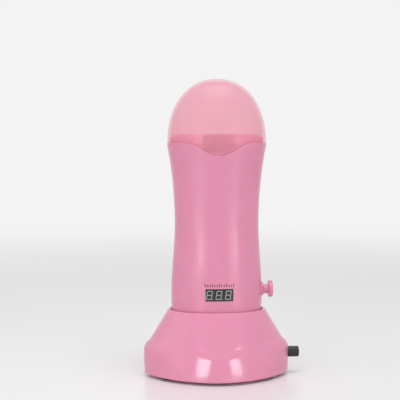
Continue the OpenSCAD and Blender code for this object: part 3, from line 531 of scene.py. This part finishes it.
def window_rings():
    """The window's curved face, a little behind the shell's, and its flat back."""
    xs = np.linspace(-DISPLAY_W / 2, DISPLAY_W / 2, 41)
    zs = np.linspace(DISPLAY_Z - DISPLAY_H / 2, DISPLAY_Z + DISPLAY_H / 2, 15)
    return [[on_front(x, z, -0.12) for x in xs] + [(x, WINDOW_BACK, z) for x in xs[::-1]] for z in zs]


window = loft("display_face", window_rings(), ends=True, sharp=50)
dress(window, display_black, "handset")
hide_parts("display_window")


def segment(cx, cz, length, upright):
    """A segment's outline: a thin bar with pointed ends, leaning with the digit."""
    half, t = length / 2, STROKE / 2
    along = [(-half, 0), (-half + t, t), (half - t, t), (half, 0), (half - t, -t), (-half + t, -t)]
    points = [(cx + (v if upright else u), cz + (u if upright else v)) for u, v in along]
    return [(x + SLANT * (z - DISPLAY_Z), z) for x, z in points]


def digit(cx):
    """The seven segments and the point of one digit."""
    span, half, gap = DIGIT_W - STROKE, (DIGIT_H - STROKE) / 2, 0.1
    bars = [segment(cx, DISPLAY_Z + k * half, span - gap, False) for k in (-1, 0, 1)]
    for sx in (-1, 1):
        for sz in (-1, 1):
            bars.append(segment(cx + sx * span / 2, DISPLAY_Z + sz * half / 2, half - gap, True))
    dot_x, dot_z = cx + DIGIT_W / 2 + DOT_OUT - SLANT * half, DISPLAY_Z - half
    bars.append(arc(dot_x, dot_z, DOT_R, 0, 336, 14))
    return bars


def flat_marks(name, outlines, lift, thickness=0.05):
    """Thin marks that lie on the window or the shell, in one object."""
    points, faces = [], []
    for outline in outlines:
        start, count = len(points), len(outline)
        points += [on_front(x, z, lift) for x, z in outline]
        points += [on_front(x, z, lift - thickness) for x, z in outline]
        faces.append(tuple(start + i for i in range(count)))
        faces.append(tuple(start + count + i for i in range(count))[::-1])
        for i in range(count):
            j = (i + 1) % count
            faces.append((start + i, start + count + i, start + count + j, start + j))
    return add_object(name, points, faces)


bars = [bar for k in (-1, 0, 1) for bar in digit(k * PITCH + DIGITS_X)]
digits = flat_marks("display_digits", bars, -0.09)
dress(digits, segment_grey, "handset")


def scale_marks():
    """A plain printed scale over the display, in place of the lettering: ticks that stand on a line."""
    low = DISPLAY_Z + DISPLAY_H / 2 + SCALE_UP
    half = SCALE_PITCH * (SCALE_TICKS - 1) / 2
    marks = [[(-half, low - 0.3), (half, low - 0.3), (half, low + 0.2), (-half, low + 0.2)]]
    for i in range(SCALE_TICKS):
        left = i * SCALE_PITCH - half - TICK_W / 2
        right = left + TICK_W
        top = low + (LONG_TICK if i % 3 == 0 else SHORT_TICK)
        marks.append([(left, low), (right, low), (right, top), (left, top)])
    return marks


scale = flat_marks("display_scale", scale_marks(), 0.015)
dress(scale, print_maroon, "handset")


# ---- Docking base ----

def ellipse(angle, a, b):
    """Distance from the axis to an ellipse with half axes a and b."""
    return 1 / np.hypot(np.cos(angle) / a, np.sin(angle) / b)


def pointed(angle, a, b, power):
    """Distance from the axis to a pointed oval with half axes a and b, found by halving."""
    c, s = np.cos(angle) / a, np.sin(angle) / b
    low, high = np.zeros_like(c * s), 1.1 * SKIRT_R
    for _ in range(40):
        middle = (low + high) / 2
        depth = ((middle * s) ** 2 + TIP_SOFT ** 2) ** (0.5 / power) - TIP_SOFT ** (1 / power)
        inside = (middle * c) ** 2 + depth < 1
        low, high = np.where(inside, middle, low), np.where(inside, high, middle)
    return low


def tip_reach(z):
    """Half width of the base at its tips: a straight bell, a round shoulder and a foot that tucks in."""
    over = z - (SHOULDER_Z - SHOULDER_R)
    turn = np.clip(over, 0, 0.995 * SHOULDER_R)
    drop = SHOULDER_R - np.sqrt(SHOULDER_R ** 2 - turn ** 2) + 5 * np.maximum(over - turn, 0)
    foot = SKIRT_R - TUCK * np.maximum(0, (TUCK_Z - z) / (TUCK_Z - FOOT_H)) ** 1.5
    bell = np.minimum(RIM_R + BELL_SLOPE * (RIM_Z - z), foot)
    blend = BLEND * smooth_step((z - BLEND_Z) / BLEND_H) + 0.01
    return -soft_min(-bell, drop - foot, blend)


def nose(x, z):
    """How far the front stands out at x: a soft swell below the sagging line, and a crease along it."""
    across = x / NOSE_W
    line = z - SMILE_Z - SMILE_RISE * np.minimum(across ** 2, 2)
    growth = NOSE_FOOT + (1 - NOSE_FOOT) * (z - FOOT_H) / (SMILE_Z - FOOT_H)
    swell = NOSE_OUT * growth * smooth_step(-line / NOSE_ROLL) * np.exp(-across ** 2)
    return swell - CREASE * np.exp(-((line - 0.5) / 0.8) ** 2 - across ** 4)


def base_reach(angle, z):
    """Distance of the base's outside from the axis: it flares from an oval rim to a pointed oval foot."""
    t = (z - FOOT_H) / (RIM_Z - FOOT_H)
    flare = t ** FLARE_POWER
    tip = smooth_step((np.abs(np.cos(angle)) - TIP_COS) / (1 - TIP_COS))
    width = (1 - tip) * (SKIRT_R - (SKIRT_R - RIM_R) * flare) + tip * tip_reach(z)
    front = np.sin(angle) < 0
    depth = SKIRT_D - np.where(front, NOSE_FOOT * NOSE_OUT, 0)
    power = FOOT_POWER - (FOOT_POWER - RIM_POWER) * t
    reach = pointed(angle, width, depth - (depth - RIM_D) * flare, power)
    return reach + np.where(front, nose(reach * np.cos(angle), z), 0)


def base_rings():
    """Round the base: its outside, the rim, the docking well inside, and a closed underside."""
    turns = np.linspace(0, TAU, 360, endpoint=False)
    angles = turns - 0.25 * np.sin(2 * turns)
    levels = np.concatenate([
        np.linspace(FOOT_H + EDGE_ROUND, 16, 30),
        np.linspace(16.2, 28, 72),
        np.linspace(28.5, RIM_Z - RIM_ROUND, 32),
    ])
    reaches = base_reach(angles[:, None], levels[None, :])
    ratio = inner_ratio(-DOCK_GAP)
    rings = []
    for angle, path in zip(angles, reaches):
        c, s = math.cos(angle), math.sin(angle)

        def out(reach, z):
            return (reach * c, reach * s, z)

        def well(z):
            r = float(body_r(z)) + DOCK_GAP
            return ellipse(angle, r, r * ratio)

        foot, inner, floor = path[0], well(RIM_Z), well(DOCK_Z)
        half_rim = (path[-1] - inner) / 2
        ring = [out(0, FOOT_H + 3), out(foot - BASE_WALL, FOOT_H + 3), out(foot - BASE_WALL - 0.1, FOOT_H)]
        for t in (0, 0.5, 1.05):
            edge = foot - EDGE_ROUND + EDGE_ROUND * math.sin(t)
            ring.append(out(edge, FOOT_H + EDGE_ROUND - EDGE_ROUND * math.cos(t)))
        ring += [out(reach, z) for reach, z in zip(path, levels)]
        for t in np.radians(np.linspace(15, 165, 11)):
            edge = inner + half_rim + half_rim * math.cos(t)
            ring.append(out(edge, RIM_Z - RIM_ROUND + RIM_ROUND * math.sin(t)))
        ring += [out(well(z), z) for z in np.linspace(RIM_Z - RIM_ROUND - 0.05, DOCK_Z + EDGE_ROUND, 18)]
        for t in (0.5, 1.05, 1.57):
            edge = floor - EDGE_ROUND + EDGE_ROUND * math.cos(t)
            ring.append(out(edge, DOCK_Z + EDGE_ROUND - EDGE_ROUND * math.sin(t)))
        ring.append(out(0, DOCK_Z))
        rings.append(ring)
    return rings


def contact_hole(x):
    """A cutter for a charging pin's hole, with the dish round it in the well's floor."""
    low, high, floor = 30, DOCK_Z + 2, DOCK_Z - DISH_H
    outline = [(0, low), (CONTACT_HOLE_R, low), (CONTACT_HOLE_R, floor)]
    outline += [(DISH_R, floor), (DISH_R, high), (0, high)]
    return lathe("contact_hole", outline, "Z", (x, 0, 0), steps=48)


base = loft("base_case", base_rings(), round_rings=False, turn=True, sharp=50)
button_edge = arc(0, BUTTON_Z, BUTTON_R + BUTTON_GAP, 0, 352.5, 47)
inlet_edge = stadium(INLET_R + INLET_GAP, INLET_C, 0, INLET_Z)
carve(base, [
    rounded_bar("button_hole", button_edge, 44, 70, "X"),
    rounded_bar("inlet_hole", inlet_edge, 20, 50, "Y"),
    contact_hole(-CONTACT_X),
    contact_hole(CONTACT_X),
], sharp=50)
dress(base, base_pink, "base")
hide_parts("base_shell")


def button_outline():
    """The flange inside the skirt, the plain barrel and a softly domed end with a fine ring."""
    end = SKIRT_R + BUTTON_OUT
    flange = SKIRT_R - BASE_WALL - 4.2
    flange_r = BUTTON_R + FLANGE_W
    points = [(PLUNGER_BORE, flange), (flange_r, flange), (flange_r, flange + FLANGE_T)]
    points += [(BUTTON_R, flange + FLANGE_T), *arc(BUTTON_R - 0.8, end - 1.1, 0.8, 0, 80, 8)]
    points += [(2.75, end - 0.26), (2.65, end - 0.42), (2.5, end - 0.42), (2.4, end - 0.22)]
    points += [(1.6, end - 0.1), (0.8, end - 0.02), (0, end)]
    return points


button = lathe("button_cap", button_outline(), "X", (0, 0, BUTTON_Z), steps=96)
dress(button, black_plastic, "button")
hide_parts("power_button")

# ---- The frame's own pieces that stay ----

carried = {
    body_pink: ["bottom_cover"],
    base_pink: ["base_plate"],
    aluminium: ["heating_chamber"],
    element_amber: ["heating_element"],
    steel: ["heater_clips", "thermal_fuse", "potentiometer_shaft", "shell_screws", "bottom_screws",
            "board_screws", "base_screws", "contact_board_screws", "switch_board_screws",
            "contact_springs"],
    black_plastic: ["temperature_sensor", "board_components", "display_module", "power_switch",
                    "power_inlet", "potentiometer"],
    board_green: ["control_board", "contact_board", "switch_board"],
    brass: ["contact_pads", "contact_barrels", "contact_plunger_left", "contact_plunger_right",
            "inlet_pins"],
    wire_red: ["handset_wires", "base_wires"],
    black_rubber: ["rubber_feet"],
    switch_white: ["switch_plunger"],
}
for mat, names in carried.items():
    for name in names:
        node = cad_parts[name]
        node.data.materials.clear()
        node.data.materials.append(mat)
        shade(node.data, 32)

# ---- Stage, light and camera, in metres ----

BACKDROP = 0.9
WORLD_LIGHT = 0.47
FADE_START, FADE_END = 0.35, 1.3
MIDDLE = Vector((0, 0, 0.11))


def seen_rays(tree):
    """1 for camera, glossy and transmission rays, which see the pale backdrop, and 0 for all others."""
    path = tree.nodes.new("ShaderNodeLightPath")
    total = path.outputs["Is Camera Ray"]
    for kind in ("Is Glossy Ray", "Is Transmission Ray"):
        both = tree.nodes.new("ShaderNodeMath")
        both.operation = "MAXIMUM"
        tree.links.new(total, both.inputs[0])
        tree.links.new(path.outputs[kind], both.inputs[1])
        total = both.outputs[0]
    return total


def table_material():
    """White, and far from the object it fades into the backdrop, so that no horizon shows."""
    mat = bpy.data.materials.new("table_white")
    mat.use_nodes = True
    tree = mat.node_tree
    shader = tree.nodes["Principled BSDF"]
    shader.inputs["Base Color"].default_value = (0.94, 0.94, 0.94, 1)
    shader.inputs["Roughness"].default_value = 0.3
    place = tree.nodes.new("ShaderNodeTexCoord")
    length = tree.nodes.new("ShaderNodeVectorMath")
    length.operation = "LENGTH"
    tree.links.new(place.outputs["Object"], length.inputs[0])
    fade = add_node(tree, "ShaderNodeMapRange", From_Min=FADE_START, From_Max=FADE_END)
    fade.interpolation_type = "SMOOTHSTEP"
    tree.links.new(length.outputs["Value"], fade.inputs["Value"])
    share = tree.nodes.new("ShaderNodeMath")
    share.operation = "MULTIPLY"
    tree.links.new(fade.outputs["Result"], share.inputs[0])
    tree.links.new(seen_rays(tree), share.inputs[1])
    glow = add_node(tree, "ShaderNodeEmission", Color=(1, 1, 1, 1), Strength=BACKDROP)
    mix = tree.nodes.new("ShaderNodeMixShader")
    tree.links.new(share.outputs[0], mix.inputs[0])
    tree.links.new(shader.outputs[0], mix.inputs[1])
    tree.links.new(glow.outputs[0], mix.inputs[2])
    tree.links.new(mix.outputs[0], tree.nodes["Material Output"].inputs["Surface"])
    return mat


floor_mesh = bpy.data.meshes.new("floor")
floor_mesh.from_pydata([(-3, -2, 0), (3, -2, 0), (3, 3, 0), (-3, 3, 0)], [], [(0, 1, 2, 3)])
floor = bpy.data.objects.new("floor", floor_mesh)
bpy.context.scene.collection.objects.link(floor)
floor_mesh.materials.append(table_material())


def softbox(name, azimuth, height, distance, wide, tall, power):
    """An area light at an azimuth round the object, from the front, that faces the object's middle."""
    data = bpy.data.lights.new(name, "AREA")
    data.shape = "RECTANGLE"
    data.size, data.size_y = wide, tall
    data.energy = power
    light = bpy.data.objects.new(name, data)
    a = math.radians(azimuth)
    light.location = (distance * math.sin(a), -distance * math.cos(a), height)
    light.rotation_mode = "QUATERNION"
    light.rotation_quaternion = (MIDDLE - light.location).to_track_quat("-Z", "Y")
    bpy.context.scene.collection.objects.link(light)


# The two boxes make the pair of soft reflections on the skirt, the cards those on the handset.
softbox("left_box", -29, 0.19, 1.0, 0.24, 0.2, 1.2)
softbox("right_box", 36, 0.19, 1.0, 0.24, 0.2, 1.05)
softbox("left_wall", -75, 0.8, 1.6, 1.5, 1.4, 2.8)
softbox("left_card", -38, 0.04, 1.0, 0.3, 0.07, 0.09)
softbox("right_card", 32, 0.04, 1.0, 0.32, 0.07, 0.08)
softbox("top_box", 10, 1.1, 0.25, 0.7, 0.5, 4.5)
softbox("back_fill", 190, 0.7, 1.2, 1.0, 0.8, 0.5)

world = bpy.data.worlds.new("studio")
bpy.context.scene.world = world
world.use_nodes = True
sky = world.node_tree.nodes["Background"]
sky.inputs["Color"].default_value = (1, 1, 1, 1)
level = add_node(world.node_tree, "ShaderNodeMapRange", To_Min=WORLD_LIGHT, To_Max=BACKDROP)
world.node_tree.links.new(seen_rays(world.node_tree), level.inputs["Value"])
world.node_tree.links.new(level.outputs["Result"], sky.inputs["Strength"])

# The camera stands in front and a little to the left, and looks down by a few degrees.
AZIMUTH, DISTANCE, HEIGHT = math.radians(-5.5), 0.740, 0.1772
PITCH_DOWN, PAN = math.radians(3.6), math.radians(0.957)
camera_data = bpy.data.cameras.new("camera")
camera_data.sensor_width = 36
camera_data.lens = 90
camera_data.clip_start = 0.01
camera = bpy.data.objects.new("camera", camera_data)
bpy.context.scene.collection.objects.link(camera)
camera.location = (DISTANCE * math.sin(AZIMUTH), -DISTANCE * math.cos(AZIMUTH), HEIGHT)
camera.rotation_euler = (math.pi / 2 - PITCH_DOWN, 0, AZIMUTH + PAN)
bpy.context.scene.camera = camera
bpy.context.scene.view_settings.view_transform = "Standard"
